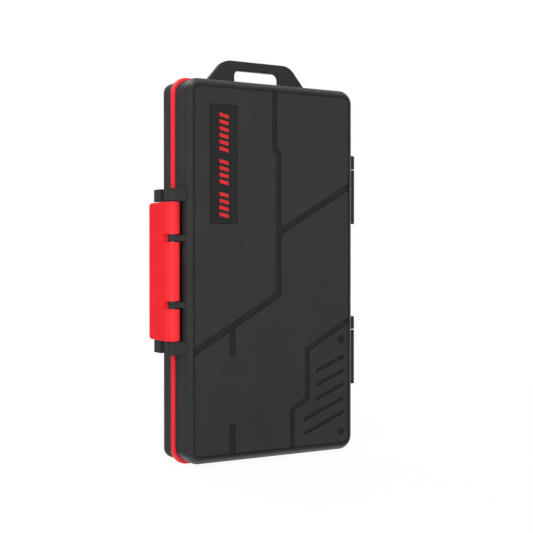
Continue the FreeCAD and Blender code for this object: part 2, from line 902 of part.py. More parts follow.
def build_tray(side, floor_y, faces_back):
    """Foam card tray in two layers: a plain backing sheet and a die-cut grid of card pockets."""
    inset = size.wall + size.tray_clearance
    tray_depth = (case_depth - size.panel * 2 - size.tray_gap) / 2
    backing_depth = tray_depth - size.grid_depth
    seam_y = floor_y + backing_depth if faces_back else floor_y - backing_depth

    backing = new_body(f"{side}_tray_backing")
    outline = new_sketch(backing, f"{side}_backing_outline", "XZ_Plane", floor_y)
    add_case_outline(outline, inset)
    pad(backing, outline, backing_depth, reversed_side=faces_back)

    grid = new_body(f"{side}_tray_grid")
    outline = new_sketch(grid, f"{side}_grid_outline", "XZ_Plane", seam_y)
    add_case_outline(outline, inset)
    pad(grid, outline, size.grid_depth, reversed_side=faces_back)

    tray_width = size.case_width - inset * 2
    tray_height = size.case_height - inset * 2
    card_width = size.card_width + size.card_clearance
    card_height = size.card_height + size.card_clearance
    small_width = size.small_card_width + size.card_clearance
    small_height = size.small_card_height + size.card_clearance
    columns = fitting(tray_width, card_width)
    small_columns = fitting(tray_width, small_width)
    rows = fitting(tray_height - small_height - size.web, card_height)
    column_gap = (tray_width - card_width * columns) / (columns + 1)
    small_gap = (tray_width - small_width * small_columns) / (small_columns + 1)
    all_rows = rows + 1
    row_gap = (tray_height - card_height * rows - small_height) / (all_rows + 1)

    bottom = bottom_z + inset + row_gap
    cut_pockets(
        grid,
        f"{side}_small_pocket",
        seam_y,
        faces_back,
        corner=(left_x + inset + small_gap, bottom),
        card=(small_width, small_height),
        notch=(
            small_width / 2,
            small_height + size.small_finger_reach - size.small_finger_radius,
            size.small_finger_radius,
        ),
        counts=(small_columns, 1),
        gaps=(small_gap, row_gap),
    )
    cut_pockets(
        grid,
        f"{side}_card_pocket",
        seam_y,
        faces_back,
        corner=(left_x + inset + column_gap, bottom + small_height + row_gap),
        card=(card_width, card_height),
        notch=(size.finger_radius - size.finger_reach, card_height / 2, size.finger_radius),
        counts=(columns, rows),
        gaps=(column_gap, row_gap),
    )
    return [backing, grid]


def build_pins():
    """The latch's pin and the two hinge pins."""
    recess = size.pin_recess
    latch_pin_bottom = lug_bottoms[0] + recess
    latch_pin_height = size.latch_length + (size.lug_height + size.lug_gap - recess) * 2
    pins = [
        upright_pin("latch_pin", pivot_x, pivot_y, latch_pin_bottom, latch_pin_height, size.latch_pin_radius)
    ]
    for place, bottom in zip(("lower", "upper"), hinge_bottoms):
        height = size.hinge_length - recess * 2
        label = f"{place}_hinge_pin"
        pins.append(upright_pin(label, hinge_x, hinge_y, bottom + recess, height, size.hinge_pin_radius))
    return pins


def check(document, pieces):
    """Stop if any object failed or any piece is not a sound solid."""
    for item in document.Objects:
        if "Invalid" in item.State or "Error" in item.State:
            raise RuntimeError(f"{item.Name} failed: {item.State}")
    for piece in pieces:
        if piece.Shape.isNull() or not piece.Shape.isValid() or len(piece.Shape.Solids) != 1:
            raise RuntimeError(f"{piece.Label} is not one sound solid")


pieces = [
    build_base_shell(),
    build_lid_shell(),
    build_seal_ring(),
    build_latch(),
    build_label_plate(),
    *build_pins(),
    *build_tray("base", back_y - size.panel, faces_back=False),
    *build_tray("lid", front_y + size.panel, faces_back=True),
]
doc.recompute()
check(doc, pieces)

os.makedirs("parts", exist_ok=True)
for piece in pieces:
    piece.Shape.exportStep(f"parts/{piece.Label}.step")
    print(piece.Label, round(piece.Shape.Volume, 1))
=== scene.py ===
"""Looks of a hinged memory card case: shells, seal, latch, foam trays, label marks and studio."""

import logging
import math
from dataclasses import dataclass, field
from enum import Enum

import bpy
from mathutils import Matrix, Vector


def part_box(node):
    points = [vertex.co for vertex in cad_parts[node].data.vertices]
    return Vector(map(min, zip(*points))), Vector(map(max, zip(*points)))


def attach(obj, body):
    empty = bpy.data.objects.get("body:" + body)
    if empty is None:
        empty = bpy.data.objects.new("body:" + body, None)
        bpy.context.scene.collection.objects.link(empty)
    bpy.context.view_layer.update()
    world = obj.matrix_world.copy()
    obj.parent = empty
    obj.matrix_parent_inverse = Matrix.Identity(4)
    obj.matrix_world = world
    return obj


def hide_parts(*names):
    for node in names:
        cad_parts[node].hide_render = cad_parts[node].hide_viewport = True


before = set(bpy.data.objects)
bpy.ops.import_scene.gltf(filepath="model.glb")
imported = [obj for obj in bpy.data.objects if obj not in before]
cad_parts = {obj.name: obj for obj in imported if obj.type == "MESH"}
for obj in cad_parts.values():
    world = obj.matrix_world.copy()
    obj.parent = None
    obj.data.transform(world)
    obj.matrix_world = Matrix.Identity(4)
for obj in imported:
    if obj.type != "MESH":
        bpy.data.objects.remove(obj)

Pair = tuple[float, float]
Place = tuple[float, float, float]
Colour = tuple[float, float, float]
Feed = bpy.types.NodeSocket | float | tuple[float, ...]

LOG = logging.getLogger("card_case")
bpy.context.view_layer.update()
MM = 0.001
WHITE = (1.0, 1.0, 1.0, 1.0)
NOISE_BAND: Pair = (0.3, 0.7)


class Body(Enum):
    """The rigid bodies of the case."""

    BASE = "base"
    LID = "lid"
    LATCH = "latch"


class Slot(Enum):
    """The record's material slots that new pieces take their finish from."""

    SHELL = "shell"
    SEAL = "seal"
    LATCH = "latch"
    LABEL = "label"
    FOAM = "foam"


class Graph:
    """A shader node tree that is filled node by node."""

    def __init__(self, tree: bpy.types.NodeTree) -> None:
        """Hold the node tree of a material, world or group."""
        self.tree = tree

    def fill(self, node: bpy.types.Node, inputs: dict[str | int, Feed]) -> None:
        """Set or link a node's inputs.

        Args:
            node: The node.
            inputs: A constant or another node's output for each input, by name or number.
        """
        for key, feed in inputs.items():
            if isinstance(feed, bpy.types.NodeSocket):
                self.tree.links.new(feed, node.inputs[key])
            else:
                node.inputs[key].default_value = feed

    def add(
        self, kind: str, inputs: dict[str | int, Feed] | None = None, **settings: object
    ) -> bpy.types.Node:
        """Add one node.

        Args:
            kind: The node's type name.
            inputs: Its inputs, as for fill.
            settings: The node's own properties.

        Returns:
            The new node.
        """
        node = self.tree.nodes.new(kind)
        for name, value in settings.items():
            setattr(node, name, value)
        self.fill(node, inputs or {})
        return node

    def math(self, operation: str, *feeds: Feed) -> bpy.types.NodeSocket:
        """A Math node's result, for an operation's name and its operands."""
        return self.add("ShaderNodeMath", dict(enumerate(feeds)), operation=operation).outputs[0]

    def product(self, first: Feed, *others: Feed) -> Feed:
        """The product of several masks.

        Args:
            first: The first mask.
            others: The others.

        Returns:
            The result socket.
        """
        for other in others:
            first = self.math("MULTIPLY", first, other)
        return first

    def mix(self, share: Feed, first: Feed, second: Feed) -> bpy.types.NodeSocket:
        """A mix of two colours.

        Args:
            share: How much of the second colour shows.
            first: The first colour, as a socket or as red, green and blue.
            second: The second colour, likewise.

        Returns:
            The colour socket.
        """
        feeds = {0: share}
        for key, feed in ((6, first), (7, second)):
            feeds[key] = feed if isinstance(feed, bpy.types.NodeSocket) else (*feed, 1.0)
        return self.add("ShaderNodeMix", feeds, data_type="RGBA").outputs[2]

    def ramp(
        self, value: Feed, low: float, high: float, start: float = 0.0, end: float = 1.0
    ) -> bpy.types.NodeSocket:
        """Map a value from low to high onto start to end, held at both ends."""
        node = self.add("ShaderNodeMapRange", {0: value, 1: low, 2: high, 3: start, 4: end})
        return node.outputs[0]

    def noise(self, vector: Feed, scale: Feed, detail: float, rough: float) -> bpy.types.NodeSocket:
        """A noise value, by cycles per metre, octaves and the share of each further octave."""
        feeds = {"Vector": vector, "Scale": scale, "Detail": detail, "Roughness": rough}
        return self.add("ShaderNodeTexNoise", feeds).outputs[0]

    def cells(self, vector: Feed, scale: Feed) -> bpy.types.NodeSocket:
        """The distance to the nearest cell centre, by cells per metre."""
        node = self.add("ShaderNodeTexVoronoi", {"Vector": vector, "Scale": scale})
        return node.outputs["Distance"]


@dataclass
class Effects:
    """Node groups that several finishes share, each built once."""

    pit_scale: float = 0.7
    pit_share: float = 0.5
    drift_scale: float = 0.012
    drift_share: float = 0.7
    # The turn and the stretch of each run of scuffs.
    scuff_runs: tuple[tuple[float, Place], ...] = (
        (0.5, (60.0, 60.0, 1400.0)),
        (-0.8, (1200.0, 60.0, 50.0)),
    )
    scuff_band: Pair = (0.66, 0.74)
    patch_scale: float = 45.0
    patch_band: Pair = (0.5, 0.7)

    def __post_init__(self) -> None:
        """Build the groups."""
        self.grain = self._grain()
        self.scuffs = self._scuffs()

    @staticmethod
    def _group(
        name: str, inputs: dict[str, str], outputs: dict[str, str]
    ) -> tuple[Graph, bpy.types.NodeOutputs, bpy.types.Node]:
        """Start a group with named sockets.

        Args:
            name: The group's name.
            inputs: Socket type by input name.
            outputs: Socket type by output name.

        Returns:
            The group's graph, what it is given and its output node.
        """
        tree = bpy.data.node_groups.new(name, "ShaderNodeTree")
        for way, sockets in (("INPUT", inputs), ("OUTPUT", outputs)):
            for socket, kind in sockets.items():
                tree.interface.new_socket(name=socket, in_out=way, socket_type=kind)
        graph = Graph(tree)
        return graph, graph.add("NodeGroupInput").outputs, graph.add("NodeGroupOutput")

    def _grain(self) -> bpy.types.NodeTree:
        """Spark-eroded mould grain: a fine height, a drifting gloss and a drifting tone.

        Returns:
            The group.
        """
        graph, given, result = self._group(
            "mould_grain",
            {"Vector": "NodeSocketVector", "Scale": "NodeSocketFloat"},
            {"Height": "NodeSocketFloat", "Gloss": "NodeSocketFloat", "Tone": "NodeSocketFloat"},
        )
        vector, scale = given["Vector"], given["Scale"]
        fine = graph.noise(vector, scale, detail=3.0, rough=0.6)
        pits = graph.cells(vector, graph.math("MULTIPLY", scale, self.pit_scale))
        height = graph.math("ADD", fine, graph.math("MULTIPLY", pits, self.pit_share))
        drift = graph.math("MULTIPLY", scale, self.drift_scale)
        broad = graph.noise(vector, drift, detail=3.0, rough=0.55)
        shares = ((broad, self.drift_share), (fine, 1.0 - self.drift_share))
        gloss = graph.math("ADD", *(graph.math("MULTIPLY", *pair) for pair in shares))
        graph.fill(result, {"Height": height, "Gloss": gloss, "Tone": broad})
        return graph.tree

    def _scuffs(self) -> bpy.types.NodeTree:
        """Sparse hairline scuffs from handling, as a mask.

        Returns:
            The group.
        """
        graph, given, result = self._group(
            "handling_scuffs",
            {"Vector": "NodeSocketVector", "Amount": "NodeSocketFloat"},
            {"Mask": "NodeSocketFloat"},
        )
        vector = given["Vector"]
        lines = []
        for turn, stretch in self.scuff_runs:
            feeds = {"Vector": vector, "Rotation": (0.0, turn, 0.0), "Scale": stretch}
            mapping = graph.add("ShaderNodeMapping", feeds)
            streak = graph.noise(mapping.outputs[0], scale=1.0, detail=2.0, rough=0.6)
            lines.append(graph.ramp(streak, *self.scuff_band))
        patches = graph.noise(vector, self.patch_scale, detail=2.0, rough=0.5)
        patch = graph.ramp(patches, *self.patch_band)
        mask = graph.product(graph.math("MAXIMUM", *lines), patch, given["Amount"])
        graph.fill(result, {"Mask": mask})
        return graph.tree


def new_material(name: str) -> tuple[bpy.types.Material, Graph, bpy.types.Node]:
    """An empty material with a Principled shader.

    Args:
        name: The material's name.

    Returns:
        The material, its graph and the shader node.
    """
    material = bpy.data.materials.new(name)
    material.use_nodes = True
    material.node_tree.nodes.clear()
    graph = Graph(material.node_tree)
    shader = graph.add("ShaderNodeBsdfPrincipled")
    graph.add("ShaderNodeOutputMaterial", {"Surface": shader.outputs[0]})
    return material, graph, shader


def object_vector(graph: Graph) -> bpy.types.NodeSocket:
    """The place on the object, in metres."""
    return graph.add("ShaderNodeTexCoord").outputs["Object"]


def facing_axes(graph: Graph) -> bpy.types.NodeOutputs:
    """The way that the surface faces on the object, as its X, Y and Z."""
    normal = graph.add("ShaderNodeTexCoord").outputs["Normal"]
    return graph.add("ShaderNodeSeparateXYZ", {0: normal}).outputs


def bumped(
    graph: Graph, shader: bpy.types.Node, height: Feed, distance: float, strength: float
) -> None:
    """Feed a height into a shader's normal, by its relief in metres and the share that shows."""
    feeds = {"Height": height, "Distance": distance, "Strength": strength}
    graph.fill(shader, {"Normal": graph.add("ShaderNodeBump", feeds).outputs[0]})


@dataclass(frozen=True)
class ShellMarks:
    """Shell places: painted shade on the groove bottoms and on a band at the panel's edge; worn
    places.
    """

    half_width: float = 36.0 * MM
    middle_z: float = 71.2 * MM
    half_height: float = 70.0 * MM
    corner: float = 5.3 * MM
    panel_inset: float = 2.45 * MM
    # The panel face and the groove bottoms, whose colour is darkened as painted shade.
    face_y: float = -10.9 * MM
    floor_y: float = -10.45 * MM
    inner_y: float = -10.05 * MM
    # A thin band where the panel's rounding starts is darkened as painted shade: its insets and half
    # width.
    shade_line_inset: float = 2.8 * MM
    hinge_shade_line_inset: float = 2.15 * MM
    shade_line_half: float = 0.6 * MM
    lid_y: float = -1.0 * MM
    slack: float = 0.1 * MM
    wear_reach: float = 8.0 * MM
    front_tilts: Pair = (0.05, 0.25)
    end_tilts: Pair = (0.2, 0.45)
    corner_tilts: Pair = (0.02, 0.2)
    crest_tilts: Pair = (0.7, 0.92)
    side_tilts: Pair = (0.3, 0.6)
    edge_share: float = 0.6
    crest_share: float = 0.15
    side_share: float = 0.7
    foot_share: float = 0.5

    def inset(self, graph: Graph, axes: bpy.types.NodeOutputs) -> bpy.types.NodeSocket:
        """How far a place lies inside the case's rounded outline.

        Args:
            graph: The material's graph.
            axes: The separated object coordinates.

        Returns:
            The distance socket, in metres.
        """
        across = graph.math("ABSOLUTE", axes["X"])
        across = graph.math("SUBTRACT", across, self.half_width - self.corner)
        along = graph.math("ABSOLUTE", graph.math("SUBTRACT", axes["Z"], self.middle_z))
        along = graph.math("SUBTRACT", along, self.half_height - self.corner)
        beyond = [graph.math("MAXIMUM", side, 0.0) for side in (across, along)]
        square = graph.math("ADD", *(graph.math("MULTIPLY", side, side) for side in beyond))
        nearer = graph.math("MINIMUM", graph.math("MAXIMUM", across, along), 0.0)
        out = graph.math("ADD", graph.math("SQRT", square), nearer)
        return graph.math("SUBTRACT", self.corner, out)

    def worn(self, graph: Graph, axes: bpy.types.NodeOutputs) -> Feed:
        """Where the grain is rubbed smooth: the lid's roundings at both ends and on the hinge side.

        Args:
            graph: The material's graph.
            axes: The separated object coordinates.

        Returns:
            The mask socket.
        """
        faces = facing_axes(graph)
        rising, facing, turning = (graph.math("ABSOLUTE", faces[axis]) for axis in "ZYX")
        front = graph.ramp(facing, *self.front_tilts)
        low = graph.math("LESS_THAN", axes["Z"], self.middle_z)
        foot = graph.math("MAXIMUM", front, graph.math("MULTIPLY", low, self.foot_share))
        rise = graph.math("ABSOLUTE", graph.math("SUBTRACT", axes["Z"], self.middle_z))
        near = graph.ramp(rise, self.half_height - self.wear_reach, self.half_height - self.corner)
        shell = graph.math("LESS_THAN", rise, self.half_height + self.slack)
        along = graph.ramp(turning, *self.corner_tilts, start=self.edge_share)
        along = graph.math("MAXIMUM", along, low)
        crest = graph.ramp(rising, *self.crest_tilts, start=1.0, end=self.crest_share)
        ends = graph.product(graph.ramp(rising, *self.end_tilts), near, shell, along, crest, foot)
        edge = graph.math("GREATER_THAN", axes["X"], self.half_width - self.panel_inset)
        wall = graph.math("LESS_THAN", axes["X"], self.half_width + self.slack)
        turned = graph.ramp(faces["X"], *self.side_tilts, end=self.side_share)
        side = graph.product(edge, wall, turned, front)
        lid = graph.math("LESS_THAN", axes["Y"], self.lid_y)
        return graph.product(graph.math("MAXIMUM", ends, side), lid)

    def painted_shade(self, graph: Graph, axes: bpy.types.NodeOutputs) -> tuple[Feed, Feed]:
        """Painted shade: the places whose colour is made darker, as shade falls there.

        Args:
            graph: The material's graph.
            axes: The separated object coordinates.

        Returns:
            The masks of painted shade on the groove bottoms and on a band at the panel's edge.
        """
        inset = self.inset(graph, axes)
        front = graph.math("LESS_THAN", axes["Y"], self.inner_y)
        deep = graph.ramp(axes["Y"], self.face_y, self.floor_y)
        # Groove bottoms are painted darker, standing in for the shade in the recesses.
        groove_shade = graph.product(graph.math("GREATER_THAN", inset, self.panel_inset), front, deep)
        # A thin band where the panel's rounding starts is painted darker, standing in for that
        # rounding's shade.
        reach = (self.half_width - self.corner, self.half_width - self.hinge_shade_line_inset)
        middle = graph.ramp(axes["X"], *reach, self.shade_line_inset, self.hinge_shade_line_inset)
        away = graph.math("ABSOLUTE", graph.math("SUBTRACT", inset, middle))
        shade_line = graph.product(graph.ramp(away, 0.0, self.shade_line_half, start=1.0, end=0.0), front)
        return groove_shade, shade_line


@dataclass(frozen=True)
class SealMarks:
    """The seal's four corners, where the ring is stretched smooth."""

    tilts: Pair = (0.05, 0.2)

    def worn(self, graph: Graph, axes: bpy.types.NodeOutputs) -> Feed:
        """Where the corners are.

        Args:
            graph: The material's graph.
            axes: The separated object coordinates, which aren't needed here.

        Returns:
            The mask socket.
        """
        faces = facing_axes(graph)
        sides = (graph.math("ABSOLUTE", faces[axis]) for axis in "XZ")
        return graph.product(*(graph.ramp(side, *self.tilts) for side in sides))


@dataclass(frozen=True)
class LatchMarks:
    """The latch's pivot barrel, which is rubbed smooth by turning."""

    pivot_x: float = -40.4 * MM
    pivot_y: float = -8.1 * MM
    radius: float = 2.6 * MM
    fade: float = 0.08 * MM

    def worn(self, graph: Graph, axes: bpy.types.NodeOutputs) -> Feed:
        """Where the barrel is.

        Args:
            graph: The material's graph.
            axes: The separated object coordinates.

        Returns:
            The mask socket.
        """
        sides = (
            graph.math("SUBTRACT", axes["X"], self.pivot_x),
            graph.math("SUBTRACT", axes["Y"], self.pivot_y),
        )
        square = graph.math("ADD", *(graph.math("MULTIPLY", side, side) for side in sides))
        away = graph.math("SQRT", square)
        return graph.ramp(away, self.radius, self.radius + self.fade, start=1.0, end=0.0)


@dataclass(frozen=True)
class MouldedPlastic:
    """A moulded plastic with grain, drifting tone, a few scuffs and, on the shells, painted shade.
    """

    name: str
    dark: Colour
    light: Colour
    scuff: Colour
    roughness: Pair
    specular: float
    grain_scale: float = 5200.0
    relief: float = 0.012 * MM
    relief_share: float = 0.35
    scuff_amount: float = 0.35
    marks: ShellMarks | SealMarks | LatchMarks | None = None
    # Painted shade colour for the groove bottoms.
    groove_shade_colour: Colour = (0.0, 0.0, 0.0)
    floor_dulling: float = 0.2
    # Painted shade colour for the thin band where the panel's rounding starts.
    shade_line_colour: Colour = (0.0, 0.0, 0.0)
    worn_coat: float = 0.0
    coat_roughness: float = 0.3

    def material(self, effects: Effects) -> bpy.types.Material:
        """Build the material.

        Args:
            effects: The shared groups.

        Returns:
            The material.
        """
        material, graph, shader = new_material(self.name)
        vector = object_vector(graph)
        feeds = {"Vector": vector, "Scale": self.grain_scale}
        grain = graph.add("ShaderNodeGroup", feeds, node_tree=effects.grain).outputs
        feeds = {"Vector": vector, "Amount": self.scuff_amount}
        scuffs = graph.add("ShaderNodeGroup", feeds, node_tree=effects.scuffs).outputs
        colour = graph.mix(graph.ramp(grain["Tone"], *NOISE_BAND), self.dark, self.light)
        colour = graph.mix(scuffs["Mask"], colour, self.scuff)
        gloss = graph.ramp(grain["Gloss"], *NOISE_BAND, *self.roughness)
        if self.marks is not None:
            axes = graph.add("ShaderNodeSeparateXYZ", {0: vector}).outputs
            coat = graph.math("MULTIPLY", self.marks.worn(graph, axes), self.worn_coat)
            graph.fill(shader, {"Coat Weight": coat, "Coat Roughness": self.coat_roughness})
        if isinstance(self.marks, ShellMarks):
            groove_shade, shade_line = self.marks.painted_shade(graph, axes)
            # Painted shade: a thin band at the panel's edge, darker as the rounding's shade.
            colour = graph.mix(shade_line, colour, self.shade_line_colour)
            # Painted shade: groove bottoms darker, as the shade in the recesses.
            colour = graph.mix(groove_shade, colour, self.groove_shade_colour)
            gloss = graph.math("ADD", gloss, graph.math("MULTIPLY", groove_shade, self.floor_dulling))
        graph.fill(shader, {
            "Base Color": colour,
            "Roughness": gloss,
            "Specular IOR Level": self.specular,
        })
        bumped(graph, shader, grain["Height"], self.relief, self.relief_share)
        return material


@dataclass(frozen=True)
class DrawnSteel:
    """Blackened drawn wire with fine lines along its length."""

    name: str
    dark: Colour = (0.035, 0.035, 0.037)
    light: Colour = (0.085, 0.085, 0.089)
    roughness: Pair = (0.22, 0.38)
    line_scale: Place = (9000.0, 9000.0, 60.0)
    relief: float = 0.01 * MM
    relief_share: float = 0.3

    def material(self) -> bpy.types.Material:
        """Build the material.

        Returns:
            The material.
        """
        material, graph, shader = new_material(self.name)
        feeds = {"Vector": object_vector(graph), "Scale": self.line_scale}
        mapping = graph.add("ShaderNodeMapping", feeds)
        lines = graph.noise(mapping.outputs[0], scale=1.0, detail=3.0, rough=0.6)
        colour = graph.mix(lines, self.dark, self.light)
        gloss = graph.ramp(lines, *NOISE_BAND, *self.roughness)
        graph.fill(shader, {"Base Color": colour, "Roughness": gloss, "Metallic": 1.0})
        bumped(graph, shader, lines, self.relief, self.relief_share)
        return material


@dataclass(frozen=True)
class CellFoam:
    """Closed-cell foam with a skin of fine pores."""

    name: str
    dark: Colour = (0.012, 0.012, 0.013)
    light: Colour = (0.034, 0.034, 0.036)
    roughness: Pair = (0.86, 0.96)
    specular: float = 0.2
    sheen: float = 0.15
    # The scale and the share of each layer of pores.
    pores: tuple[Pair, ...] = ((1500.0, 0.6), (3600.0, 0.4))
    pore_band: Pair = (0.15, 0.6)
    blotch_scale: float = 70.0
    blotch_band: Pair = (0.2, 0.8)
    blotch_tones: Pair = (0.7, 1.0)
    relief: float = 0.05 * MM
    relief_share: float = 0.5

    def material(self) -> bpy.types.Material:
        """Build the material.

        Returns:
            The material.
        """
        material, graph, shader = new_material(self.name)
        vector = object_vector(graph)
        layers = (
            graph.math("MULTIPLY", graph.cells(vector, scale), share)
            for scale, share in self.pores
        )
        pores = graph.math("ADD", *layers)
        blotch = graph.noise(vector, self.blotch_scale, detail=3.0, rough=0.55)
        blotches = graph.ramp(blotch, *self.blotch_band, *self.blotch_tones)
        tone = graph.product(graph.ramp(pores, *self.pore_band), blotches)
        graph.fill(shader, {
            "Base Color": graph.mix(tone, self.dark, self.light),
            "Roughness": graph.ramp(blotch, *NOISE_BAND, *self.roughness),
            "Specular IOR Level": self.specular,
            "Sheen Weight": self.sheen,
        })
        bumped(graph, shader, pores, self.relief, self.relief_share)
        return material


@dataclass(frozen=True)
class Ink:
    """Screen-printed ink with a slightly uneven film."""

    name: str
    thin: Colour
    full: Colour
    roughness: Pair = (0.42, 0.6)
    specular: float = 0.25
    film_scale: float = 900.0
    film_band: Pair = (0.35, 0.6)
    relief: float = 0.01 * MM
    relief_share: float = 0.4

    def material(self) -> bpy.types.Material:
        """Build the material.

        Returns:
            The material.
        """
        material, graph, shader = new_material(self.name)
        film = graph.noise(object_vector(graph), self.film_scale, detail=4.0, rough=0.6)
        graph.fill(shader, {
            "Base Color": graph.mix(graph.ramp(film, *self.film_band), self.thin, self.full),
            "Roughness": graph.ramp(film, *NOISE_BAND, *self.roughness),
            "Specular IOR Level": self.specular,
        })
        bumped(graph, shader, film, self.relief, self.relief_share)
        return material


@dataclass
class Finishes:
    """All finishes of the case."""

    effects: Effects = field(default_factory=Effects)

    def __post_init__(self) -> None:
        """Build the materials."""
        self.shell = MouldedPlastic(
            "black_shell",
            dark=(0.0315, 0.0315, 0.0319),
            light=(0.0350, 0.0350, 0.0354),
            scuff=(0.058, 0.058, 0.059),
            roughness=(0.36, 0.46),
            specular=0.02,
            marks=ShellMarks(),
            # Painted shade in the groove bottoms.
            groove_shade_colour=(0.024, 0.024, 0.0243),
            # Painted shade on the thin band at the panel's edge.
            shade_line_colour=(0.014, 0.014, 0.0142),
            worn_coat=1.0,
        ).material(self.effects)
        self.seal = MouldedPlastic(
            "red_seal",
            dark=(0.80, 0.028, 0.040),
            light=(0.84, 0.034, 0.047),
            scuff=(0.78, 0.07, 0.08),
            roughness=(0.50, 0.62),
            specular=0.04,
            grain_scale=3600.0,
            scuff_amount=0.15,
            marks=SealMarks(),
            worn_coat=1.0,
            coat_roughness=0.45,
        ).material(self.effects)
        self.latch = MouldedPlastic(
            "red_latch",
            dark=(0.88, 0.021, 0.027),
            light=(0.92, 0.025, 0.032),
            scuff=(0.90, 0.05, 0.05),
            roughness=(0.36, 0.46),
            specular=0.012,
            scuff_amount=0.2,
            marks=LatchMarks(),
            worn_coat=0.30,
            coat_roughness=0.55,
        ).material(self.effects)
        self.label = MouldedPlastic(
            "label_film",
            dark=(0.0165, 0.0165, 0.0169),
            light=(0.0190, 0.0190, 0.0194),
            scuff=(0.038, 0.038, 0.039),
            roughness=(0.5, 0.62),
            specular=0.06,
            grain_scale=8000.0,
        ).material(self.effects)
        self.steel = DrawnSteel("pin_steel").material()
        self.foam = CellFoam("tray_foam").material()
        self.ink = Ink("label_ink", thin=(0.42, 0.010, 0.014), full=(0.60, 0.016, 0.022)).material()


@dataclass(frozen=True)
class Rims:
    """Edges of a moulding that are rounded, by the angle of their faces and by their plane."""

    radius: float
    least_deg: float = 40.0
    most_deg: float = 120.0
    plane_y: float | None = None
    plane_slack: float = 0.01 * MM
    steps: int = 2


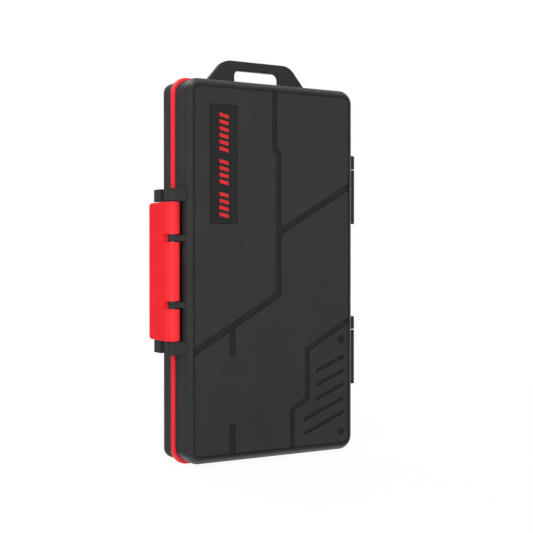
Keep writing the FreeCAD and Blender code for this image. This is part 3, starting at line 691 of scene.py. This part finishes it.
class Modeller:
    """Hand-modelling steps on one mesh at a time."""

    MERGE_REACH = 0.001 * MM
    UPRIGHT_SHARE = 0.9
    SOFTEN_FROM_DEG = 50.0
    SOFT_SHADE_DEG = 35.0
    FLAT_DEG = 1.0
    SHARP_DEG = 38.0
    STRIP_SHARE = 0.4
    STRIP_WIDTH = 0.6 * MM

    @staticmethod
    def block(name: str, low: Place, high: Place) -> bpy.types.Object:
        """A block between two corners, with its place in its mesh.

        Args:
            name: The object's name.
            low: The lowest corner.
            high: The highest corner.

        Returns:
            The new object, which is active.
        """
        bpy.ops.object.select_all(action="DESELECT")
        middle = [(a + b) / 2 for a, b in zip(low, high)]
        spans = [b - a for a, b in zip(low, high)]
        bpy.ops.mesh.primitive_cube_add(size=1.0, location=middle)
        piece = bpy.context.object
        piece.name = name
        piece.scale = spans
        bpy.ops.object.transform_apply(location=True, rotation=True, scale=True)
        return piece

    @staticmethod
    def only(piece: bpy.types.Object) -> None:
        """Select one piece alone and make it active.

        Args:
            piece: The object.
        """
        bpy.ops.object.select_all(action="DESELECT")
        piece.select_set(True)
        bpy.context.view_layer.objects.active = piece

    @staticmethod
    def bevel_edges(
        piece: bpy.types.Object, chosen: set[int], radius: float, steps: int, **settings: object
    ) -> None:
        """Round some of a piece's edges.

        Args:
            piece: The object, which is active.
            chosen: The edges' numbers.
            radius: The radius of the rounding.
            steps: Its steps.
            settings: Further settings of the bevel.
        """
        bpy.ops.object.mode_set(mode="EDIT")
        bpy.ops.mesh.select_mode(type="EDGE")
        bpy.ops.mesh.select_all(action="DESELECT")
        bpy.ops.object.mode_set(mode="OBJECT")
        for edge in piece.data.edges:
            edge.select = edge.index in chosen
        bpy.ops.object.mode_set(mode="EDIT")
        bpy.ops.mesh.bevel(offset=radius, segments=steps, affect="EDGES", **settings)
        bpy.ops.object.mode_set(mode="OBJECT")

    @classmethod
    def round_upright_edges(cls, piece: bpy.types.Object, radius: float, steps: int) -> None:
        """Round the edges that run from front to back.

        Args:
            piece: The object, which is active.
            radius: The corner radius.
            steps: Steps in each corner.
        """
        points = piece.data.vertices
        chosen = set()
        for edge in piece.data.edges:
            run = points[edge.vertices[0]].co - points[edge.vertices[1]].co
            if abs(run.y) > cls.UPRIGHT_SHARE * run.length:
                chosen.add(edge.index)
        cls.bevel_edges(piece, chosen, radius, steps)

    @classmethod
    def apply(cls, piece: bpy.types.Object, kind: str, **settings: object) -> None:
        """Add one modifier and apply it.

        Args:
            piece: The object.
            kind: The modifier's type.
            settings: The modifier's properties.
        """
        cls.only(piece)
        modifier = piece.modifiers.new(kind.lower(), kind)
        for name, value in settings.items():
            setattr(modifier, name, value)
        bpy.ops.object.modifier_apply(modifier=modifier.name)

    @classmethod
    def repeat(cls, piece: bpy.types.Object, count: int, step: Place) -> None:
        """Repeat a mesh along a step.

        Args:
            piece: The object.
            count: How many there are in the end.
            step: The shift from one to the next.
        """
        cls.apply(
            piece,
            "ARRAY",
            count=count,
            use_relative_offset=False,
            use_constant_offset=True,
            constant_offset_displace=step,
        )

    @classmethod
    def cut(cls, piece: bpy.types.Object, cutter: bpy.types.Object) -> None:
        """Cut a shape out of a piece and remove the shape."""
        cls.apply(piece, "BOOLEAN", operation="DIFFERENCE", object=cutter, solver="EXACT")
        bpy.data.objects.remove(cutter)

    @classmethod
    def soften(cls, piece: bpy.types.Object, width: float, steps: int) -> None:
        """Round all sharp edges a little and shade the piece smooth.

        Args:
            piece: The object.
            width: The width of the rounding.
            steps: Its steps.
        """
        cls.apply(
            piece,
            "BEVEL",
            width=width,
            segments=steps,
            limit_method="ANGLE",
            angle_limit=math.radians(cls.SOFTEN_FROM_DEG),
            harden_normals=False,
        )
        cls.weld(piece)
        bpy.ops.object.shade_smooth_by_angle(angle=math.radians(cls.SOFT_SHADE_DEG))

    @classmethod
    def weld(cls, piece: bpy.types.Object, flats_deg: float = 0.0) -> None:
        """Merge a mesh's doubled points.

        Args:
            piece: The object.
            flats_deg: Below this angle, faces are joined into one flat.
        """
        cls.only(piece)
        bpy.ops.object.mode_set(mode="EDIT")
        bpy.ops.mesh.select_all(action="SELECT")
        bpy.ops.mesh.remove_doubles(threshold=cls.MERGE_REACH)
        if flats_deg:
            bpy.ops.mesh.dissolve_limited(angle_limit=math.radians(flats_deg))
        bpy.ops.object.mode_set(mode="OBJECT")

    @staticmethod
    def bends(mesh: bpy.types.Mesh) -> dict[int, float]:
        """The angle between the two faces at each edge.

        Args:
            mesh: The mesh.

        Returns:
            The angle in degrees by the edge's number.
        """
        sides: dict[int, list[bpy.types.MeshPolygon]] = {}
        for polygon in mesh.polygons:
            for loop in polygon.loop_indices:
                sides.setdefault(mesh.loops[loop].edge_index, []).append(polygon)
        pairs = {edge: faces for edge, faces in sides.items() if len(faces) == 2}
        return {edge: math.degrees(a.normal.angle(b.normal)) for edge, (a, b) in pairs.items()}

    @classmethod
    def round_rims(cls, piece: bpy.types.Object, rims: Rims) -> None:
        """Round the edges that a moulding's rims name.

        Args:
            piece: The object.
            rims: The edges and their rounding.
        """
        cls.only(piece)
        mesh = piece.data
        turns = cls.bends(mesh)
        chosen = set()
        for edge in mesh.edges:
            ends = [mesh.vertices[index].co.y for index in edge.vertices]
            near = rims.plane_y is None or all(
                abs(y - rims.plane_y) < rims.plane_slack for y in ends
            )
            if near and rims.least_deg < turns.get(edge.index, 0.0) < rims.most_deg:
                chosen.add(edge.index)
        cls.bevel_edges(
            piece, chosen, rims.radius, rims.steps, clamp_overlap=False, loop_slide=False
        )

    @classmethod
    def smooth(cls, piece: bpy.types.Object) -> None:
        """Shade the strips of the roundings smooth and leave the flats flat.

        Args:
            piece: The object.
        """
        mesh = piece.data
        bends = cls.bends(mesh)
        soft = {edge for edge, bend in bends.items() if cls.FLAT_DEG < bend < cls.SHARP_DEG}
        points = mesh.vertices
        ends = (edge.vertices for edge in mesh.edges)
        spans = [(points[a].co - points[b].co).length for a, b in ends]
        for polygon in mesh.polygons:
            edges = [mesh.loops[loop].edge_index for loop in polygon.loop_indices]
            around = sum(spans[edge] for edge in edges)
            bent = sum(spans[edge] for edge in edges if edge in soft)
            narrow = polygon.area < cls.STRIP_WIDTH * around
            polygon.use_smooth = bent > cls.STRIP_SHARE * around and narrow
        for edge in mesh.edges:
            edge.use_edge_sharp = bends.get(edge.index, cls.SHARP_DEG) >= cls.SHARP_DEG

    @staticmethod
    def join(pieces: list[bpy.types.Object], name: str) -> bpy.types.Object:
        """Join several meshes into one object.

        Args:
            pieces: The objects.
            name: The joined object's name.

        Returns:
            The joined object.
        """
        bpy.ops.object.select_all(action="DESELECT")
        for piece in pieces:
            piece.select_set(True)
        bpy.context.view_layer.objects.active = pieces[0]
        bpy.ops.object.join()
        pieces[0].name = name
        return pieces[0]


def dress(piece: bpy.types.Object, material: bpy.types.Material) -> None:
    """Give a piece one material."""
    piece.data.materials.clear()
    piece.data.materials.append(material)


@dataclass
class FoamTray:
    """One foam tray: a backing sheet and a die-cut grid of card pockets."""

    side: Body
    corner: float = 2.1 * MM
    corner_steps: int = 6
    edge: float = 0.45 * MM
    edge_steps: int = 3
    pocket_corner: float = 1.0 * MM
    pocket_steps: int = 4
    card: Pair = (24.8 * MM, 32.8 * MM)
    card_counts: tuple[int, int] = (2, 3)
    small: Pair = (11.8 * MM, 15.8 * MM)
    small_count: int = 4
    # The radius of a finger notch, and its reach into the foam beyond the pocket.
    notch: Pair = (5.0 * MM, 2.6 * MM)
    small_notch: Pair = (3.2 * MM, 1.6 * MM)
    notch_sides: int = 40
    overrun: float = 1.0 * MM

    def build(self, foam: bpy.types.Material) -> list[bpy.types.Object]:
        """Model both layers.

        Args:
            foam: The foam's finish.

        Returns:
            The two pieces.
        """
        pieces = [self._slab("backing"), self._slab("grid")]
        self._cut_pockets(pieces[1])
        for piece, layer in zip(pieces, ("backing", "grid")):
            Modeller.soften(piece, self.edge, self.edge_steps)
            dress(piece, foam)
            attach(piece, self.side.value)
            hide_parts(f"{self.side.value}_tray_{layer}")
        return pieces

    def _slab(self, layer: str) -> bpy.types.Object:
        """The plain sheet of one layer.

        Args:
            layer: Which layer.

        Returns:
            The piece.
        """
        low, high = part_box(f"{self.side.value}_tray_{layer}")
        piece = Modeller.block(f"{self.side.value}_foam_{layer}", tuple(low), tuple(high))
        Modeller.round_upright_edges(piece, self.corner, self.corner_steps)
        return piece

    def _cut_pockets(self, grid: bpy.types.Object) -> None:
        """Cut the card pockets and their finger notches.

        Args:
            grid: The grid's sheet.
        """
        low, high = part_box(f"{self.side.value}_tray_grid")
        span_x, span_z = high.x - low.x, high.z - low.z
        columns, rows = self.card_counts
        gap_x = (span_x - columns * self.card[0]) / (columns + 1)
        gap_z = (span_z - rows * self.card[1] - self.small[1]) / (rows + 2)
        small_gap = (span_x - self.small_count * self.small[0]) / (self.small_count + 1)
        front, back = low.y - self.overrun, high.y + self.overrun
        first = (low.x + gap_x, low.z + 2 * gap_z + self.small[1])
        small_first = (low.x + small_gap, low.z + gap_z)
        notch_radius, notch_reach = self.notch
        small_radius, small_reach = self.small_notch
        cards = (first, self.card, (gap_x, gap_z), self.card_counts)
        smalls = (small_first, self.small, (small_gap, gap_z), (self.small_count, 1))
        notch = (notch_radius - notch_reach, self.card[1] / 2, notch_radius)
        small_notch = (self.small[0] / 2, self.small[1] - small_radius + small_reach, small_radius)
        cuts = ((*cards, None), (*smalls, None), (*cards, notch), (*smalls, small_notch))
        for (x, z), (width, height), (step_x, step_z), counts, round_cut in cuts:
            if round_cut is None:
                far = (x + width, back, z + height)
                cutter = Modeller.block("pocket_cutter", (x, front, z), far)
                Modeller.round_upright_edges(cutter, self.pocket_corner, self.pocket_steps)
            else:
                centre = (x + round_cut[0], (front + back) / 2, z + round_cut[1])
                cutter = self._notch_cutter(centre, round_cut[2], back - front)
            Modeller.repeat(cutter, counts[0], (width + step_x, 0.0, 0.0))
            Modeller.repeat(cutter, counts[1], (0.0, 0.0, height + step_z))
            Modeller.cut(grid, cutter)

    def _notch_cutter(self, centre: Place, radius: float, depth: float) -> bpy.types.Object:
        """A round cutter that lies from front to back.

        Args:
            centre: The cutter's middle.
            radius: Its radius.
            depth: Its length.

        Returns:
            The cutter.
        """
        bpy.ops.object.select_all(action="DESELECT")
        bpy.ops.mesh.primitive_cylinder_add(
            vertices=self.notch_sides,
            radius=radius,
            depth=depth,
            location=centre,
            rotation=(math.pi / 2, 0.0, 0.0),
        )
        cutter = bpy.context.object
        bpy.ops.object.transform_apply(location=True, rotation=True, scale=True)
        return cutter


@dataclass
class LabelMarks:
    """Slanted bars in three groups, printed on the label plate."""

    groups: tuple[int, ...] = (6, 4, 4)
    bar_width: float = 3.7 * MM
    bar_height: float = 1.35 * MM
    bar_corner: float = 0.18 * MM
    corner_steps: int = 3
    pitch: float = 2.47 * MM
    group_gap: float = 2.1 * MM
    slant: float = 0.85 * MM
    film: float = 0.05 * MM
    top_inset: float = 2.7 * MM

    def build(self, ink: bpy.types.Material) -> bpy.types.Object:
        """Model the bars as one piece.

        Args:
            ink: The ink's finish.

        Returns:
            The piece.
        """
        low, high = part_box("label_plate")
        middle_x = (low.x + high.x) / 2
        left = middle_x - self.bar_width / 2
        top = high.z - self.top_inset
        bars = []
        for count in self.groups:
            bar = Modeller.block(
                "label_bar",
                (left, low.y - self.film, top - self.bar_height),
                (left + self.bar_width, low.y, top),
            )
            self._lean(bar, middle_x)
            Modeller.repeat(bar, count, (0.0, 0.0, -self.pitch))
            bars.append(bar)
            top -= count * self.pitch + self.group_gap
        piece = Modeller.join(bars, "label_marks")
        dress(piece, ink)
        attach(piece, Body.LID.value)
        return piece

    def _lean(self, bar: bpy.types.Object, middle_x: float) -> None:
        """Lower a bar's right end, and round its four corners.

        Args:
            bar: The bar, which is active.
            middle_x: The bar's middle.
        """
        points = bar.data.vertices
        for point in points:
            point.select = point.co.x > middle_x
        for part in (*bar.data.edges, *bar.data.polygons):
            part.select = all(points[index].select for index in part.vertices)
        bpy.ops.object.mode_set(mode="EDIT")
        bpy.ops.transform.translate(value=(0.0, 0.0, -self.slant))
        bpy.ops.object.mode_set(mode="OBJECT")
        Modeller.round_upright_edges(bar, self.bar_corner, self.corner_steps)


@dataclass(frozen=True)
class Moulding:
    """One moulded piece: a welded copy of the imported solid, shaded smooth, some with soft rims."""

    node: str
    body: Body
    slot: Slot
    rims: Rims | None = None
    flats_deg: float = 0.5

    def build(self, material: bpy.types.Material) -> bpy.types.Object:
        """Model the piece and dress it.

        Args:
            material: Its finish.

        Returns:
            The piece.
        """
        piece = bpy.data.objects.new(f"{self.node}_moulding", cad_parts[self.node].data.copy())
        bpy.context.scene.collection.objects.link(piece)
        Modeller.weld(piece, self.flats_deg)
        if self.rims:
            Modeller.round_rims(piece, self.rims)
        Modeller.smooth(piece)
        dress(piece, material)
        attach(piece, self.body.value)
        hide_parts(self.node)
        return piece


@dataclass
class CaseShells:
    """The moulded pieces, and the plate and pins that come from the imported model."""

    mouldings: tuple[Moulding, ...] = (
        Moulding("base_shell", Body.BASE, Slot.SHELL),
        Moulding("lid_shell", Body.LID, Slot.SHELL, Rims(0.25 * MM, plane_y=-11.0 * MM)),
        Moulding("seal_ring", Body.BASE, Slot.SEAL, Rims(0.30 * MM, most_deg=50.0)),
        Moulding("latch", Body.LATCH, Slot.LATCH),
    )

    def build(self, finishes: Finishes) -> None:
        """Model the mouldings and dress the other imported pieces.

        Args:
            finishes: All finishes of the case.
        """
        looks = {Slot.SHELL: finishes.shell, Slot.SEAL: finishes.seal, Slot.LATCH: finishes.latch}
        for moulding in self.mouldings:
            LOG.info("built %s", moulding.build(looks[moulding.slot]).name)
        plain = {
            "label_plate": finishes.label,
            "latch_pin": finishes.steel,
            "lower_hinge_pin": finishes.steel,
            "upper_hinge_pin": finishes.steel,
        }
        for name, material in plain.items():
            dress(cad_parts[name], material)
            LOG.info("dressed %s", name)


@dataclass(frozen=True)
class Lamp:
    """A soft square lamp that points at the case."""

    name: str
    place: Place
    watts: float
    size: float

    def build(self, target: Place) -> None:
        """Set the lamp up.

        Args:
            target: The place that it points at.
        """
        data = bpy.data.lights.new(self.name, "AREA")
        data.energy = self.watts
        data.size = self.size
        lamp = bpy.data.objects.new(self.name, data)
        bpy.context.scene.collection.objects.link(lamp)
        lamp.location = self.place
        aim = Vector(target) - Vector(self.place)
        lamp.rotation_euler = aim.to_track_quat("-Z", "Y").to_euler()


@dataclass
class Studio:
    """Pale floor, soft lamps, white surroundings and the camera."""

    camera_place: Place = (-199.15 * MM, -351.80 * MM, 77.04 * MM)
    camera_turn_deg: float = 29.896
    camera_tilt_deg: float = 0.607
    focal_px: float = 1052.6
    image_px: float = 533.0
    sensor_mm: float = 36.0
    clip_start: float = 0.01
    ambient: float = 0.18
    floor_size: float = 8.0
    floor_drop: float = 0.05 * MM
    floor_grey: float = 0.9
    floor_roughness: float = 0.9
    floor_glow: float = 1.03
    floor_share: float = 0.92
    floor_fade: Pair = (0.3, 0.6)
    target: Place = (0.0, 0.0, 0.07)
    lamps: tuple[Lamp, ...] = (
        Lamp("key", (-0.60, -0.76, 0.22), 6.4, 0.3),
        Lamp("right", (0.72, -0.75, 0.24), 1.9, 0.45),
        Lamp("top", (-0.40, -0.30, 1.04), 3.2, 0.5),
        Lamp("rear top", (-0.15, 0.80, 0.85), 2.2, 0.5),
        Lamp("rear", (0.66, 0.88, 0.16), 3.4, 0.3),
    )

    def build(self) -> None:
        """Set up the scene around the case."""
        bpy.context.scene.view_settings.view_transform = "Standard"
        self._world()
        self._floor()
        for lamp in self.lamps:
            lamp.build(self.target)
        self._camera()

    @staticmethod
    def _seen(graph: Graph) -> bpy.types.NodeSocket:
        """A mask of the rays that show the surroundings as they are.

        Args:
            graph: The graph of the world or floor.

        Returns:
            The mask socket.
        """
        path = graph.add("ShaderNodeLightPath").outputs
        seen = graph.math("MAXIMUM", path["Is Camera Ray"], path["Is Glossy Ray"])
        return graph.math("MAXIMUM", seen, path["Is Transmission Ray"])

    def _world(self) -> None:
        """White surroundings that light the case at a lower level than they show."""
        world = bpy.data.worlds.new("studio")
        bpy.context.scene.world = world
        world.use_nodes = True
        world.node_tree.nodes.clear()
        graph = Graph(world.node_tree)
        strength = graph.ramp(self._seen(graph), 0.0, 1.0, start=self.ambient)
        background = graph.add("ShaderNodeBackground", {"Color": WHITE, "Strength": strength})
        graph.add("ShaderNodeOutputWorld", {"Surface": background.outputs[0]})

    def _floor(self) -> None:
        """A plain pale floor that keeps a faint shadow near the case and is white farther out."""
        bpy.ops.object.select_all(action="DESELECT")
        place = (0.0, 0.0, -self.floor_drop)
        bpy.ops.mesh.primitive_plane_add(size=self.floor_size, location=place)
        floor = bpy.context.object
        floor.name = "floor"
        bpy.ops.object.transform_apply(location=True, rotation=True, scale=True)
        material, graph, shader = new_material("pale_floor")
        grey = (self.floor_grey, self.floor_grey, self.floor_grey, 1.0)
        graph.fill(shader, {"Base Color": grey, "Roughness": self.floor_roughness})
        glow = graph.add("ShaderNodeEmission", {"Color": WHITE, "Strength": self.floor_glow})
        away = graph.add("ShaderNodeVectorMath", {0: object_vector(graph)}, operation="LENGTH")
        bright = graph.ramp(away.outputs["Value"], *self.floor_fade, start=self.floor_share)
        share = graph.product(self._seen(graph), bright)
        feeds = {0: share, 1: shader.outputs[0], 2: glow.outputs[0]}
        mixed = graph.add("ShaderNodeMixShader", feeds)
        output = next(node for node in graph.tree.nodes if node.type == "OUTPUT_MATERIAL")
        graph.fill(output, {"Surface": mixed.outputs[0]})
        dress(floor, material)

    def _camera(self) -> None:
        """The camera at the photograph's place."""
        data = bpy.data.cameras.new("camera")
        data.sensor_width = self.sensor_mm
        data.lens = self.focal_px / self.image_px * self.sensor_mm
        data.clip_start = self.clip_start
        camera = bpy.data.objects.new("camera", data)
        bpy.context.scene.collection.objects.link(camera)
        turn, tilt = math.radians(self.camera_turn_deg), math.radians(self.camera_tilt_deg)
        level = math.cos(tilt)
        look = Vector((math.sin(turn) * level, math.cos(turn) * level, -math.sin(tilt)))
        turned = look.to_track_quat("-Z", "Y").to_matrix().to_4x4()
        camera.matrix_world = Matrix.Translation(self.camera_place) @ turned
        bpy.context.scene.camera = camera


def main() -> None:
    """Build the case's looks and the studio."""
    logging.basicConfig(level=logging.INFO)
    finishes = Finishes()
    CaseShells().build(finishes)
    for side in (Body.BASE, Body.LID):
        for piece in FoamTray(side).build(finishes.foam):
            LOG.info("built %s", piece.name)
    LOG.info("built %s", LabelMarks().build(finishes.ink).name)
    Studio().build()


if __name__ == "__main__":
    main()
